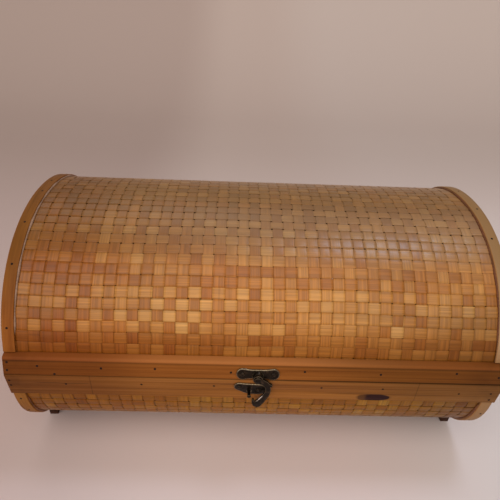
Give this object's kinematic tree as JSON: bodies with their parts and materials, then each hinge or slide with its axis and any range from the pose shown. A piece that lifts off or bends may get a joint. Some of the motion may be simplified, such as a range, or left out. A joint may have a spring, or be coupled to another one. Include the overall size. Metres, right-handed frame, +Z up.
{
  "type": "storage trunk",
  "caption": "Barrel-shaped storage trunk of woven bamboo strips on a wooden frame, with a domed lid hinged at the back and a swing-hook latch at the front.",
  "frame": {"origin": "on the floor, under the middle of the trunk", "axes": "+X along the trunk to the right, the front faces -Y, +Z up"},
  "size_m": [0.4, 0.2755, 0.2128],
  "materials": {
    "woven_bamboo": "honey-coloured lacquered bamboo strips in a plain weave, some straw, some red-brown",
    "end_board_wood": "satin varnished softwood",
    "band_wood": "satin varnished bent wood",
    "rail_wood": "satin varnished softwood with straight grain",
    "foot_wood": "dark stained wood, matt",
    "dark_bronze": "darkened antique bronze, worn bright on the raised edges"
  },
  "bodies": {
    "base": {"base_woven_panel": "woven_bamboo", "base_end_board_left": "end_board_wood", "base_end_board_right": "end_board_wood", "base_edge_band_left": "band_wood", "base_edge_band_right": "band_wood", "base_front_rail": "rail_wood", "base_back_rail": "rail_wood", "foot_front_left": "foot_wood", "foot_front_right": "foot_wood", "foot_back_left": "foot_wood", "foot_back_right": "foot_wood", "hinge_left_lower_leaf": "dark_bronze", "hinge_left_lower_screw_inner": "dark_bronze", "hinge_left_lower_screw_outer": "dark_bronze", "hinge_left_pin": "dark_bronze", "hinge_right_lower_leaf": "dark_bronze", "hinge_right_lower_screw_inner": "dark_bronze", "hinge_right_lower_screw_outer": "dark_bronze", "hinge_right_pin": "dark_bronze", "catch_plate": "dark_bronze", "catch_screw_left": "dark_bronze", "catch_screw_right": "dark_bronze", "catch_post": "dark_bronze"},
    "lid": {"lid_woven_panel": "woven_bamboo", "lid_end_board_left": "end_board_wood", "lid_end_board_right": "end_board_wood", "lid_edge_band_left": "band_wood", "lid_edge_band_right": "band_wood", "lid_front_rail": "rail_wood", "lid_back_rail": "rail_wood", "hinge_left_upper_leaf": "dark_bronze", "hinge_left_upper_screw_inner": "dark_bronze", "hinge_left_upper_screw_outer": "dark_bronze", "hinge_right_upper_leaf": "dark_bronze", "hinge_right_upper_screw_inner": "dark_bronze", "hinge_right_upper_screw_outer": "dark_bronze", "latch_plate": "dark_bronze", "latch_screw_left": "dark_bronze", "latch_screw_right": "dark_bronze", "latch_rivet": "dark_bronze"},
    "latch_hook": {"latch_hook": "dark_bronze"}
  },
  "joints": [
    {"name": "lid_hinge", "type": "hinge", "parent": "base", "child": "lid", "pos_m": [0, 0.13516, 0.1045], "axis": [-1, 0, 0], "range_deg": [0, 105]},
    {"name": "latch_swing", "type": "hinge", "parent": "lid", "child": "latch_hook", "pos_m": [0, -0.13462, 0.1083], "axis": [0, -0.9962, -0.0872], "range_deg": [-15, 110]}
  ]
}
